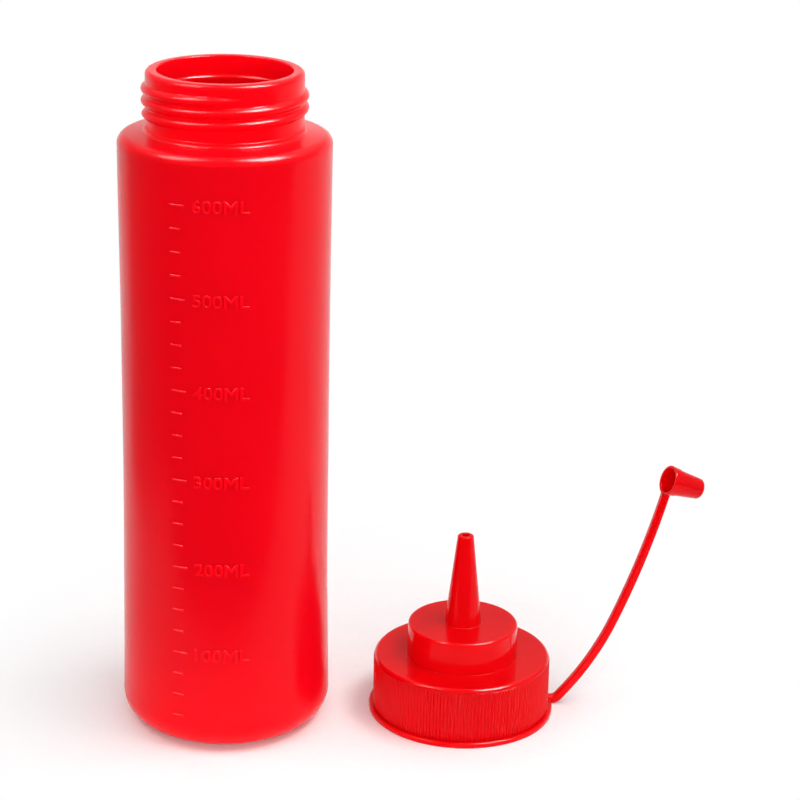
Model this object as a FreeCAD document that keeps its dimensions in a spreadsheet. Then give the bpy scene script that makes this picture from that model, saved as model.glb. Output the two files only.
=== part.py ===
"""Squeeze bottle and its screw cap, taken off and stood beside it.

A parametric FreeCAD document in millimetres, +Z up. The origin is the centre of the bottle's
resting ring, on the surface that both pieces stand on. The bottle is one blow-moulded shell. The
cap is one injection moulding: a ribbed skirt with a flange, a deck, a turret, a tapered nozzle,
and a tether that ends in the cover for the nozzle's tip.
"""
import FreeCAD, Part
import math
import os
import re

import Sketcher

# Driving dimensions: name, value, what it is. Lengths are millimetres and angles are degrees.
SIZES = [
    ("body_radius", 34.0, "bottle, outer radius just under the shoulder"),
    ("waist_depth", 0.3, "how far the waist lies inside that radius"),
    ("waist_height", 90.0, "height of the waist"),
    ("heel_flare", 0.7, "how far the heel stands outside that radius"),
    ("heel_round", 9.0, "rounding between side and base"),
    ("wall", 1.2, "wall of the body and base"),
    ("push_up", 3.2, "height of the base's dome"),
    ("contact_width", 1.2, "width of the ring that the bottle rests on"),
    ("shoulder_height", 200.8, "height where the neck starts"),
    ("shoulder_slope", 9.0, "fall of the shoulder"),
    ("shoulder_round", 3.2, "rounding at the shoulder's edge"),
    ("neck_radius", 25.0, "neck, outer radius between the threads"),
    ("neck_height", 19.8, "shoulder to rim"),
    ("neck_wall", 2.0, "wall of the neck"),
    ("neck_fillet", 0.9, "hollow rounding at the neck's foot"),
    ("band_height", 2.6, "plain band round the neck's foot"),
    ("band_step", 0.35, "how far that band stands out"),
    ("lip_width", 3.6, "width of the rim, outside to mouth"),
    ("lip_depth", 3.0, "height of the inner lip"),
    ("lip_round", 2.4, "outer rounding of the rim"),
    ("lip_edge", 0.5, "inner rounding of the rim"),
    ("thread_height", 1.35, "room that the neck's thread ridge takes"),
    ("thread_clearance", 0.9, "thread ridge to the cap's bore"),
    ("skirt_wall", 2.4, "wall of the cap's skirt under the ribs"),
    ("flange_gap", 0.7, "flange to shoulder when the cap is screwed on"),
    ("flange_width", 1.75, "how far the flange stands out from the skirt"),
    ("flange_height", 1.8, "thickness of the flange"),
    ("flange_round", 0.5, "rounding of the flange's rim"),
    ("deck_thickness", 1.5, "thickness of the deck"),
    ("deck_round", 1.3, "rounding between deck and skirt"),
    ("rib_count", 160, "grip ribs round the skirt"),
    ("rib_height", 0.4, "how far a grip rib stands out"),
    ("rib_width", 0.85, "width of a grip rib at the skirt"),
    ("rib_root", 0.3, "how far a rib is let into the skirt"),
    ("seal_clearance", 0.25, "plug seal to the mouth"),
    ("seal_wall", 1.0, "wall of the plug seal"),
    ("seal_depth", 2.2, "height of the plug seal"),
    ("seal_ledge", 1.0, "least deck between plug seal and turret"),
    ("turret_radius", 18.2, "turret, outer radius at its top"),
    ("turret_draft", 0.4, "how much wider the turret is at the deck"),
    ("turret_height", 11.3, "deck to the turret's top"),
    ("turret_wall", 1.6, "wall and top of the turret"),
    ("turret_round", 0.9, "rounding of the turret's top edge"),
    ("nozzle_base_radius", 6.2, "nozzle, outer radius at the turret"),
    ("nozzle_tip_radius", 2.75, "nozzle, outer radius at its tip"),
    ("nozzle_height", 31.8, "turret to the nozzle's tip"),
    ("nozzle_wall", 1.3, "wall of the nozzle at its foot"),
    ("nozzle_fillet", 0.8, "hollow rounding at the nozzle's foot"),
    ("tip_round", 0.7, "rounding of the tip"),
    ("orifice_radius", 1.25, "the outlet"),
    ("orifice_length", 2.0, "straight length of the outlet"),
    ("tether_width", 3.0, "tether, side to side"),
    ("tether_thickness", 2.6, "tether, face to face"),
    ("tether_round", 1.0, "rounding of the tether's edges"),
    ("tether_height", 1.5, "tether's middle above the surface at its root"),
    ("root_reach", 0.3, "flange's rim to the start of the tether's first bend"),
    ("root_flare", 1.7, "how much wider the root is at the skirt, each side"),
    ("root_bend_radius", 3.2, "first bend, beside the flange"),
    ("root_bend_angle", 48.0, "turn of the first bend"),
    ("rise_bend_radius", 97.0, "second bend, the lower half of the rise"),
    ("rise_bend_angle", 19.5, "turn of the second bend"),
    ("top_bend_radius", 323.0, "third bend, up to the tip cover"),
    ("top_bend_angle", 8.5, "turn of the third bend"),
    ("cover_clearance", 0.12, "tip cover to the nozzle's tip"),
    ("cover_depth", 12.4, "depth of the tip cover's bore"),
    ("cover_wall", 0.65, "wall of the tip cover"),
    ("cover_end", 0.8, "closed end of the tip cover"),
    ("cover_round", 1.3, "rounding of the closed end"),
    ("collar_length", 3.2, "collar at the cover's mouth"),
    ("collar_step", 0.15, "how far the collar stands out"),
    ("cover_twist", 12.0, "turn of the tip cover about the tether"),
    ("cover_overlap", 0.6, "how far the tether runs into the cover's wall"),
    ("cap_x", 80.0, "cap's axis, to the right of the bottle's"),
    ("cap_y", 4.0, "cap's axis, behind the bottle's"),
    ("tether_azimuth", 8.0, "direction in which the tether leaves the cap"),
]

# Sizes that follow from the driving ones, as expressions of the sheet.
HEEL_RADIUS = "(body_radius + heel_flare)"
WAIST_RADIUS = "(body_radius - waist_depth)"
CONTACT_OUTER = "(body_radius + heel_flare - heel_round)"
CONTACT_INNER = "(body_radius + heel_flare - heel_round - contact_width)"
FOOT_RADIUS = "(neck_radius + band_step + neck_fillet)"
SHOULDER_EDGE = f"min(shoulder_round; 0.6 * (body_radius - {FOOT_RADIUS}))"
EDGE_START = f"(body_radius - {SHOULDER_EDGE} * (1 - sin(shoulder_slope)))"
SIDE_TOP = (f"(shoulder_height - ({EDGE_START} - {FOOT_RADIUS}) * tan(shoulder_slope)"
            f" - {SHOULDER_EDGE} * cos(shoulder_slope))")
EDGE_TOP = f"({SIDE_TOP} + {SHOULDER_EDGE} * cos(shoulder_slope))"
NECK_BORE = "(neck_radius - neck_wall)"
RIM_HEIGHT = "(shoulder_height + neck_height)"
MOUTH_RADIUS = "(neck_radius - lip_width)"
BORE_RADIUS = "(neck_radius + thread_height + thread_clearance)"
SKIRT_RADIUS = f"({BORE_RADIUS} + skirt_wall)"
FLANGE_RADIUS = f"({SKIRT_RADIUS} + flange_width)"
UNDER_DECK = "(neck_height - flange_gap)"
DECK_TOP = f"({UNDER_DECK} + deck_thickness)"
TURRET_TOP = f"({DECK_TOP} + turret_height)"
TIP_TOP = f"({TURRET_TOP} + nozzle_height)"
SEAL_OUTER = f"({MOUTH_RADIUS} - seal_clearance)"
TURRET_BORE = f"min(turret_radius - turret_wall; {SEAL_OUTER} - seal_wall - seal_ledge)"
NOZZLE_TAPER = "((nozzle_base_radius - nozzle_tip_radius) / nozzle_height)"
COVER_TIP_BORE = "(nozzle_tip_radius + cover_clearance)"
COVER_MOUTH_BORE = f"({COVER_TIP_BORE} + cover_depth * {NOZZLE_TAPER})"
FIRST_TURN = "root_bend_angle"
SECOND_TURN = "(root_bend_angle + rise_bend_angle)"
THIRD_TURN = "(root_bend_angle + rise_bend_angle + top_bend_angle)"
TETHER_START = f"({FLANGE_RADIUS} + root_reach)"
TETHER_END_X = (f"({TETHER_START} + root_bend_radius * sin({FIRST_TURN})"
                f" + rise_bend_radius * (sin({SECOND_TURN}) - sin({FIRST_TURN}))"
                f" + top_bend_radius * (sin({THIRD_TURN}) - sin({SECOND_TURN})))")
TETHER_END_Z = (f"(tether_height + root_bend_radius * (1 - cos({FIRST_TURN}))"
                f" + rise_bend_radius * (cos({FIRST_TURN}) - cos({SECOND_TURN}))"
                f" + top_bend_radius * (cos({SECOND_TURN}) - cos({THIRD_TURN})))")

# The sketcher's own names for its axes and for the ends of an edge.
H_AXIS, V_AXIS = -1, -2
START, END = 1, 2

document = FreeCAD.newDocument("SqueezeBottle")
sheet = document.addObject("Spreadsheet::Sheet", "Sizes")


def fill_sheet():
    """Write every driving dimension to the sheet, with its name as alias."""
    for row, (name, value, meaning) in enumerate(SIZES, start=1):
        sheet.set(f"A{row}", name)
        sheet.set(f"B{row}", str(value))
        sheet.set(f"C{row}", meaning)
        sheet.setAlias(f"B{row}", name)
    document.recompute()


def bound(text):
    """Turn the names of sizes in an expression into references to the sheet."""
    names = "|".join(name for name, _, _ in SIZES)
    return re.sub(rf"\b({names})\b", r"Sizes.\1", text)


def value_of(text):
    """The number that an expression of the sheet gives now."""
    result = sheet.evalExpression(bound(text))
    return float(getattr(result, "Value", result))


def origin_plane(body, role):
    """One of the body's own origin planes."""
    return next(feature for feature in body.Origin.OriginFeatures if feature.Role == role)


def new_sketch(body, name, role, offset=None):
    """A sketch on an origin plane; offset maps attachment paths to expressions."""
    sketch = body.newObject("Sketcher::SketchObject", name)
    sketch.AttachmentSupport = [(origin_plane(body, role), "")]
    sketch.MapMode = "FlatFace"
    for path, text in (offset or {}).items():
        sketch.setExpression(f"AttachmentOffset.{path}", bound(text))
    document.recompute()
    return sketch


def constrain(sketch, kind, places, text=None):
    """Add a constraint, driven by an expression where text is given."""
    if text is None:
        sketch.addConstraint(Sketcher.Constraint(kind, *places))
        return
    value = math.radians(value_of(text)) if kind == "Angle" else value_of(text)
    number = sketch.addConstraint(Sketcher.Constraint(kind, *places, value))
    name = f"{sketch.Name}_{kind}_{number}"
    sketch.renameConstraint(number, name)
    sketch.setExpression(f"Constraints.{name}", bound(text))


def place_corner(sketch, edge, end, corner):
    """Hold one end of an edge at a corner, given as two expressions."""
    across, along = corner
    if across == "0":
        constrain(sketch, "PointOnObject", (edge, end, V_AXIS))
    else:
        constrain(sketch, "DistanceX", (H_AXIS, START, edge, end), across)
    if along == "0":
        constrain(sketch, "PointOnObject", (edge, end, H_AXIS))
    else:
        constrain(sketch, "DistanceY", (H_AXIS, START, edge, end), along)


def arc_between(first, last, radius, hollow):
    """An arc from one point to the next; a hollow one has its centre on the right-hand side."""
    chord = last - first
    half = chord.Length / 2
    side = FreeCAD.Vector(-chord.y, chord.x, 0).normalize()
    reach = math.sqrt(max(radius * radius - half * half, 0))
    centre = (first + last) / 2 + side * (-reach if hollow else reach)
    ends = (last, first) if hollow else (first, last)
    angles = [math.atan2(end.y - centre.y, end.x - centre.x) for end in ends]
    return Part.ArcOfCircle(Part.Circle(centre, FreeCAD.Vector(0, 0, 1), radius), *angles)


def draw_outline(sketch, steps):
    """A closed outline, counter-clockwise.

    Each step is a corner and, where an arc leads on from it, the arc's radius. A radius that
    starts with a minus sign is a hollow arc.
    """
    corners = [step[0] for step in steps]
    points = [FreeCAD.Vector(value_of(across), value_of(along), 0) for across, along in corners]
    ends = []
    for number, step in enumerate(steps):
        first, last = points[number], points[(number + 1) % len(points)]
        if len(step) == 1:
            sketch.addGeometry(Part.LineSegment(first, last))
            ends.append((START, END))
            continue
        hollow = step[1].startswith("-")
        radius = step[1].lstrip("-")
        sketch.addGeometry(arc_between(first, last, value_of(radius), hollow))
        ends.append((END, START) if hollow else (START, END))
        constrain(sketch, "Radius", (number,), radius)
    for number, corner in enumerate(corners):
        before = number - 1 if number else len(corners) - 1
        constrain(sketch, "Coincident", (before, ends[before][1], number, ends[number][0]))
        place_corner(sketch, number, ends[number][0], corner)


def revolve(body, sketch, name):
    """Turn a sketch once round its own vertical axis."""
    turned = body.newObject("PartDesign::Revolution", name)
    turned.Profile = sketch
    turned.ReferenceAxis = (sketch, ["V_Axis"])
    turned.Angle = 360
    document.recompute()
    return turned


def pad(body, sketch, name, length):
    """Raise a sketch by an expression."""
    raised = body.newObject("PartDesign::Pad", name)
    raised.Profile = sketch
    raised.setExpression("Length", bound(length))
    document.recompute()
    return raised


def flat_arc(length, rise):
    """Radius of an arc that starts along a line and leaves it by rise over length."""
    return f"(({length} ^ 2 + {rise} ^ 2) / (2 * {rise}))"


def make_bottle():
    """The blow-moulded shell: domed base, faint waist, sloped shoulder and open neck."""
    body = document.addObject("PartDesign::Body", "bottle")
    body.Label = "bottle"
    sketch = new_sketch(body, "shell_profile", "XZ_Plane")
    dome = f"(({CONTACT_INNER} ^ 2 + push_up ^ 2) / (2 * push_up))"
    heel_side = flat_arc("(waist_height - heel_round)", "(heel_flare + waist_depth)")
    top_side = flat_arc(f"({SIDE_TOP} - waist_height)", "waist_depth")
    edge_inside = (f"({EDGE_START} - wall * sin(shoulder_slope))",
                   f"({EDGE_TOP} - wall * cos(shoulder_slope))")
    foot_inside = f"({edge_inside[1]} + ({edge_inside[0]} - {NECK_BORE}) * tan(shoulder_slope))"
    steps = [
        (("0", "push_up"), f"-{dome}"),
        ((CONTACT_INNER, "0"),),
        ((CONTACT_OUTER, "0"), "heel_round"),
        ((HEEL_RADIUS, "heel_round"), f"-{heel_side}"),
        ((WAIST_RADIUS, "waist_height"), f"-{top_side}"),
        (("body_radius", SIDE_TOP), SHOULDER_EDGE),
        ((EDGE_START, EDGE_TOP),),
        ((FOOT_RADIUS, "shoulder_height"), "-neck_fillet"),
        (("(neck_radius + band_step)", "(shoulder_height + neck_fillet)"),),
        (("(neck_radius + band_step)", "(shoulder_height + band_height)"),),
        (("neck_radius", "(shoulder_height + band_height + band_step)"),),
        (("neck_radius", f"({RIM_HEIGHT} - lip_round)"), "lip_round"),
        (("(neck_radius - lip_round)", RIM_HEIGHT),),
        ((f"({MOUTH_RADIUS} + lip_edge)", RIM_HEIGHT), "lip_edge"),
        ((MOUTH_RADIUS, f"({RIM_HEIGHT} - lip_edge)"),),
        ((MOUTH_RADIUS, f"({RIM_HEIGHT} - lip_depth)"),),
        ((NECK_BORE, f"({RIM_HEIGHT} - lip_depth - {NECK_BORE} + {MOUTH_RADIUS})"),),
        ((NECK_BORE, foot_inside),),
        (edge_inside, f"-({SHOULDER_EDGE} - wall)"),
        (("(body_radius - wall)", SIDE_TOP), f"({top_side} + wall)"),
        ((f"({WAIST_RADIUS} - wall)", "waist_height"), f"({heel_side} + wall)"),
        ((f"({HEEL_RADIUS} - wall)", "heel_round"), "-(heel_round - wall)"),
        ((CONTACT_OUTER, "wall"),),
        ((CONTACT_INNER, "wall"), dome),
        (("0", "(push_up + wall)"),),
    ]
    draw_outline(sketch, steps)
    revolve(body, sketch, "shell")
    return body


def make_cap():
    """The cap: turned shell, grip ribs, and the tether with its tip cover, all one moulding."""
    body = document.addObject("PartDesign::Body", "cap")
    body.Label = "cap"
    add_cap_shell(body)
    add_grip_ribs(body)
    add_tether_root(body)
    add_tether(body)
    add_tip_cover(body)
    body.setExpression("Placement.Base.x", bound("cap_x"))
    body.setExpression("Placement.Base.y", bound("cap_y"))
    body.setExpression("Placement.Rotation.Yaw", bound("tether_azimuth"))
    document.recompute()
    return body


def add_cap_shell(body):
    """Skirt, flange, deck, turret and nozzle, with the hollow under them and the plug seal."""
    sketch = new_sketch(body, "cap_profile", "XZ_Plane")
    seal_bottom = f"({UNDER_DECK} - seal_depth)"
    seal_inner = f"({SEAL_OUTER} - seal_wall)"
    steps = [
        ((BORE_RADIUS, "0"),),
        ((f"({FLANGE_RADIUS} - flange_round)", "0"), "flange_round"),
        ((FLANGE_RADIUS, "flange_round"),),
        ((FLANGE_RADIUS, "(flange_height - flange_round)"), "flange_round"),
        ((f"({FLANGE_RADIUS} - flange_round)", "flange_height"),),
        ((SKIRT_RADIUS, "flange_height"),),
        ((SKIRT_RADIUS, f"({DECK_TOP} - deck_round)"), "deck_round"),
        ((f"({SKIRT_RADIUS} - deck_round)", DECK_TOP),),
        (("(turret_radius + turret_draft)", DECK_TOP),),
        (("turret_radius", f"({TURRET_TOP} - turret_round)"), "turret_round"),
        (("(turret_radius - turret_round)", TURRET_TOP),),
        (("(nozzle_base_radius + nozzle_fillet)", TURRET_TOP), "-nozzle_fillet"),
        (("nozzle_base_radius", f"({TURRET_TOP} + nozzle_fillet)"),),
        (("nozzle_tip_radius", f"({TIP_TOP} - tip_round)"), "tip_round"),
        (("(nozzle_tip_radius - tip_round)", TIP_TOP),),
        (("orifice_radius", TIP_TOP),),
        (("orifice_radius", f"({TIP_TOP} - orifice_length)"),),
        (("(nozzle_base_radius - nozzle_wall)", f"({TURRET_TOP} - turret_wall)"),),
        ((TURRET_BORE, f"({TURRET_TOP} - turret_wall)"),),
        ((TURRET_BORE, UNDER_DECK),),
        ((seal_inner, UNDER_DECK),),
        ((seal_inner, seal_bottom),),
        ((SEAL_OUTER, seal_bottom),),
        ((SEAL_OUTER, UNDER_DECK),),
        ((BORE_RADIUS, UNDER_DECK),),
    ]
    draw_outline(sketch, steps)
    revolve(body, sketch, "cap_shell")


def add_grip_ribs(body):
    """Fine upright ribs round the skirt, from the flange to the deck's rounding."""
    sketch = new_sketch(body, "rib_section", "XY_Plane", {"Base.z": "flange_height"})
    root = f"({SKIRT_RADIUS} - rib_root)"
    crest = f"({SKIRT_RADIUS} + rib_height)"
    steps = [
        ((root, "(-rib_width / 2)"),),
        ((crest, "(-rib_width / 6)"),),
        ((crest, "(rib_width / 6)"),),
        ((root, "(rib_width / 2)"),),
    ]
    draw_outline(sketch, steps)
    rib = pad(body, sketch, "grip_rib", f"({DECK_TOP} - deck_round - flange_height)")
    pattern = body.newObject("PartDesign::PolarPattern", "grip_ribs")
    pattern.Originals = [rib]
    pattern.Axis = (sketch, ["N_Axis"])
    pattern.Angle = 360
    pattern.setExpression("Occurrences", bound("rib_count"))
    body.Tip = pattern
    document.recompute()


def add_tether_root(body):
    """The flared lug that joins the tether to the skirt and flange."""
    sketch = new_sketch(body, "root_outline", "XY_Plane")
    inner = f"({SKIRT_RADIUS} - rib_root)"
    flared = "(tether_width / 2 + root_flare)"
    steps = [
        ((inner, f"-{flared}"),),
        ((TETHER_START, "(-tether_width / 2)"),),
        ((TETHER_START, "(tether_width / 2)"),),
        ((inner, flared),),
    ]
    draw_outline(sketch, steps)
    pad(body, sketch, "tether_root", "(tether_height + tether_thickness / 2)")


def add_tether(body):
    """The tether: a rounded strip swept along a short straight and three tangent arcs."""
    section = new_sketch(body, "tether_section", "YZ_Plane", {"Base.z": SKIRT_RADIUS})
    side = "(tether_width / 2)"
    inset = "(tether_width / 2 - tether_round)"
    low = "(tether_height - tether_thickness / 2)"
    high = "(tether_height + tether_thickness / 2)"
    steps = [
        ((f"-{inset}", low),),
        ((inset, low), "tether_round"),
        ((side, f"({low} + tether_round)"),),
        ((side, f"({high} - tether_round)"), "tether_round"),
        ((inset, high),),
        ((f"-{inset}", high), "tether_round"),
        ((f"-{side}", f"({high} - tether_round)"),),
        ((f"-{side}", f"({low} + tether_round)"), "tether_round"),
    ]
    draw_outline(section, steps)
    route = new_sketch(body, "tether_route", "XZ_Plane")
    draw_route(route)
    tether = body.newObject("PartDesign::AdditivePipe", "tether")
    tether.Profile = section
    tether.Spine = (route, [f"Edge{number + 1}" for number in range(route.GeometryCount)])
    document.recompute()


def draw_route(sketch):
    """The tether's middle line: out of the root, then up in three bends that turn ever slower."""
    height = value_of("tether_height")
    here = FreeCAD.Vector(value_of(TETHER_START), height, 0)
    sketch.addGeometry(Part.LineSegment(FreeCAD.Vector(value_of(SKIRT_RADIUS), height, 0), here))
    place_corner(sketch, 0, START, (SKIRT_RADIUS, "tether_height"))
    place_corner(sketch, 0, END, (TETHER_START, "tether_height"))
    heading = 0.0
    for bend in ("root_bend", "rise_bend", "top_bend"):
        radius = value_of(f"{bend}_radius")
        turn = math.radians(value_of(f"{bend}_angle"))
        side = FreeCAD.Vector(-math.sin(heading), math.cos(heading), 0)
        circle = Part.Circle(here + side * radius, FreeCAD.Vector(0, 0, 1), radius)
        first = heading - math.pi / 2
        number = sketch.addGeometry(Part.ArcOfCircle(circle, first, first + turn))
        constrain(sketch, "Tangent", (number - 1, END, number, START))
        constrain(sketch, "Radius", (number,), f"{bend}_radius")
        constrain(sketch, "Angle", (number,), f"{bend}_angle")
        here = circle.value(first + turn)
        heading += turn
    document.recompute()


def add_tip_cover(body):
    """The hollow cover that fits over the nozzle's tip; the tether meets the edge of its mouth."""
    total = "(cover_depth + cover_end)"
    mouth_outer = f"({COVER_MOUTH_BORE} + cover_wall + collar_step)"
    reach = f"({mouth_outer} - cover_overlap)"
    half = "(tether_thickness / 2)"
    turn = THIRD_TURN
    offset = {
        "Base.x": f"{TETHER_END_X} + cos({turn}) * {reach} - sin({turn}) * cos(cover_twist) * {half}",
        "Base.y": f"{TETHER_END_Z} + sin({turn}) * {reach} + cos({turn}) * cos(cover_twist) * {half}",
        "Base.z": f"sin(cover_twist) * {half}",
        "Rotation.Yaw": turn,
        "Rotation.Roll": "cover_twist - 180",
    }
    sketch = new_sketch(body, "cover_profile", "XZ_Plane", offset)
    collar_outer = f"({mouth_outer} - collar_length * {NOZZLE_TAPER})"
    end_outer = f"({COVER_TIP_BORE} + cover_wall + (cover_round - cover_end) * {NOZZLE_TAPER})"
    steps = [
        ((COVER_MOUTH_BORE, "0"),),
        ((mouth_outer, "0"),),
        ((collar_outer, "collar_length"),),
        ((f"({collar_outer} - collar_step)", "(collar_length + collar_step)"),),
        ((end_outer, f"({total} - cover_round)"), "cover_round"),
        ((f"({end_outer} - cover_round)", total),),
        (("0", total),),
        (("0", "cover_depth"),),
        ((COVER_TIP_BORE, "cover_depth"),),
    ]
    draw_outline(sketch, steps)
    revolve(body, sketch, "tip_cover")


def check_document():
    """Stop if a sketch doesn't solve, or if any object failed to build."""
    for item in document.Objects:
        failed = [state for state in item.State if state in ("Invalid", "Error")]
        if failed:
            raise RuntimeError(f"{item.Name} failed: {failed}")
        if item.TypeId == "Sketcher::SketchObject" and item.solve() != 0:
            raise RuntimeError(f"{item.Name} doesn't solve")


def write_parts(pieces):
    """Write each piece to its own STEP file, named after its label."""
    os.makedirs("parts", exist_ok=True)
    for piece in pieces:
        shape = piece.Shape
        if shape.isNull() or not shape.isValid() or len(shape.Solids) != 1:
            raise RuntimeError(f"{piece.Label} isn't one valid solid")
        shape.exportStep(f"parts/{piece.Label}.step")
        box = shape.optimalBoundingBox()
        print(piece.Label, f"volume {shape.Volume:.0f} mm3, faces {len(shape.Faces)},"
              f" x {box.XMin:.2f} to {box.XMax:.2f}, y {box.YMin:.2f} to {box.YMax:.2f},"
              f" z {box.ZMin:.2f} to {box.ZMax:.2f}")


fill_sheet()
pieces = [make_bottle(), make_cap()]
document.recompute()
check_document()
write_parts(pieces)
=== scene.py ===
"""Looks of a squeeze bottle with its cap stood beside it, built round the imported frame.

Everything is in metres, in the frame's own axes: +Z up, -Y to the side with the measuring scale
and +X to the cap. Each visible piece is made by an operator of its own and takes its sizes from
the property groups below.
"""
import math

import bpy
import numpy as np
from bpy.props import FloatProperty, FloatVectorProperty, IntProperty, PointerProperty
from bpy.types import Operator, Panel, PropertyGroup
from mathutils import Matrix, Vector


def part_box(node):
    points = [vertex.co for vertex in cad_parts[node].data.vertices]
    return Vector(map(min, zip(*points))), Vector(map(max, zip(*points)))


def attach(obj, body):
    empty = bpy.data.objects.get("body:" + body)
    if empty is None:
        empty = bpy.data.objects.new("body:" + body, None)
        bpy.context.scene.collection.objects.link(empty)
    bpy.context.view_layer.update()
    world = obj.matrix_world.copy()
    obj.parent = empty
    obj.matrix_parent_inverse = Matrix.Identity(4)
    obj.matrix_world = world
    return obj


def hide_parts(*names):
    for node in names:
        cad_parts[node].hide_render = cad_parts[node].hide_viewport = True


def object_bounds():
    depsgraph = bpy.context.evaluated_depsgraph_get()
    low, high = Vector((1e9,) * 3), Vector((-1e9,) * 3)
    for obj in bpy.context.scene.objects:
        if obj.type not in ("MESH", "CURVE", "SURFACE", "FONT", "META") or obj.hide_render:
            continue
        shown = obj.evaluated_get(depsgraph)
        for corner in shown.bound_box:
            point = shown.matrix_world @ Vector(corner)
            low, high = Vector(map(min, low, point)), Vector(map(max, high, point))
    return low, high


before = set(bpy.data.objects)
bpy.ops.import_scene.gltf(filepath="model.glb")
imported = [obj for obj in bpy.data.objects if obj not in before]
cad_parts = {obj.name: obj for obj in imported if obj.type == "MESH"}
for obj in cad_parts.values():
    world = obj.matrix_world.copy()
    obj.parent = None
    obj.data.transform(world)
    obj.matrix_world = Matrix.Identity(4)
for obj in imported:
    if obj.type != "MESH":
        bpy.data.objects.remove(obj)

bl_info = {
    "name": "Squeeze bottle",
    "version": (1, 0, 0),
    "blender": (4, 5, 0),
    "location": "3D View > Sidebar > Bottle",
    "description": "A squeeze bottle, its measuring scale and its ribbed cap with a tethered cover",
    "category": "Add Mesh",
}

MM = 0.001
CAD_LOW, CAD_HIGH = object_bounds()
BOTTLE_LOW, BOTTLE_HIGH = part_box("bottle")
CAP_LOW, CAP_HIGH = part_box("cap")
FLANGE_RADIUS = (CAP_HIGH.y - CAP_LOW.y) / 2
CAP_AXIS = Vector((CAP_LOW.x + FLANGE_RADIUS, (CAP_LOW.y + CAP_HIGH.y) / 2, CAP_LOW.z))
HEEL_RADIUS = (BOTTLE_HIGH.x - BOTTLE_LOW.x) / 2
RIM_HEIGHT = BOTTLE_HIGH.z


def length(name, millimetres, description):
    """A length, written in millimetres and held in metres."""
    return FloatProperty(name=name, description=description, default=millimetres * MM,
                         subtype="DISTANCE", unit="LENGTH", precision=5)


def angle(name, degrees, description):
    """An angle, written in degrees and held in radians."""
    return FloatProperty(name=name, description=description, default=math.radians(degrees),
                         subtype="ANGLE", unit="ROTATION")


def factor(name, share, description):
    """A plain number from 0 up."""
    return FloatProperty(name=name, description=description, default=share, min=0.0,
                         subtype="FACTOR", soft_max=1.0)


def colour(name, value, description):
    """A colour in linear values."""
    return FloatVectorProperty(name=name, description=description, default=value, size=3,
                               min=0.0, max=1.0, subtype="COLOR")


class ShellSizes(PropertyGroup):
    """Sizes of the blown shell."""

    waist_radius: length("Waist radius", 33.7, "Outer radius at the waist")
    waist_height: length("Waist height", 90.0, "Height of the waist")
    top_radius: length("Top radius", 34.0, "Outer radius just under the shoulder")
    heel_round: length("Heel rounding", 9.0, "Rounding between side and base")
    push_up: length("Push-up", 3.2, "Height of the base's dome")
    contact_width: length("Contact width", 1.2, "Width of the resting ring")
    wall: length("Wall", 1.2, "Wall of the body and base")
    neck_height: length("Neck height", 19.5, "Shoulder to rim")
    shoulder_slope: angle("Shoulder slope", 7.0, "Fall of the shoulder")
    shoulder_round: length("Shoulder rounding", 3.2, "Rounding at the shoulder's edge")
    neck_radius: length("Neck radius", 25.0, "Outer radius between the threads")
    neck_fillet: length("Neck fillet", 1.2, "Hollow rounding at the neck's foot")
    band_height: length("Band height", 1.5, "Plain band round the neck's foot")
    band_step: length("Band step", 0.12, "How far that band stands out")
    neck_bore: length("Neck bore", 23.0, "Inner radius of the neck")
    mouth_radius: length("Mouth radius", 21.4, "Inner radius of the lip")
    lip_depth: length("Lip depth", 14.0, "Height of the inner lip")
    bead_drop: length("Bead drop", 7.6, "Rim to the foot of the bead inside the lip")
    bead: length("Bead", 1.4, "Height of the bead inside the lip")
    lip_round: length("Lip rounding", 1.5, "Outer rounding of the rim")
    lip_edge: length("Lip edge", 0.5, "Inner rounding of the rim")
    wave: length("Unevenness", 0.06, "How far the blown wall wanders from true")
    seam_rise: length("Seam rise", 0.07, "Height of the mould's parting line")
    seam_width: length("Seam width", 0.26, "Width of the mould's parting line")
    seam_turn: angle("Seam turn", 14.5, "Parting line behind the bottle's widest points")
    base_line: length("Base line", 5.6, "Height of the line left by the mould's base")


class NeckThreadSizes(PropertyGroup):
    """Sizes of the rounded screw thread on the neck."""

    rise: length("Thread rise", 1.35, "How far the thread stands out")
    width: length("Thread width", 3.3, "Width of the ridge at its foot")
    pitch: length("Thread pitch", 3.8, "Rise of the thread in one turn")
    top: length("Thread end", 215.8, "Height of the ridge where the thread ends")
    end: angle("Thread end angle", -71.0, "Direction in which the thread ends")
    turns: FloatProperty(name="Thread turns", description="Turns of the ridge", default=2.34)
    fade: angle("Thread fade", 30.0, "Angle over which either end fades")


class ScaleSizes(PropertyGroup):
    """Sizes of the raised measuring scale."""

    first: length("First label", 34.9, "Height of the lowest labelled mark")
    spacing: length("Spacing", 30.0, "Height between labelled marks")
    labels: IntProperty(name="Labels", description="Labelled marks", default=6, min=1)
    between: IntProperty(name="Marks between", description="Short marks between labels", default=3)
    left: angle("Left end", -25.9, "Direction of the marks' left end, from the front")
    long_right: angle("Long mark end", -17.2, "Direction of a long mark's right end")
    short_right: angle("Short mark end", -19.6, "Direction of a short mark's right end")
    mark_width: length("Mark width", 0.85, "Height of a mark's bar")
    relief: length("Relief", 0.3, "How far marks and letters stand out")
    label_left: angle("Label left end", -13.3, "Direction of a label's left end")
    label_right: angle("Label right end", 16.9, "Direction of a label's right end")
    letter_height: length("Letter height", 4.3, "Height of the letters")
    letter_edge: length("Letter edge", 0.14, "Bevel round the letters")


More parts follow.
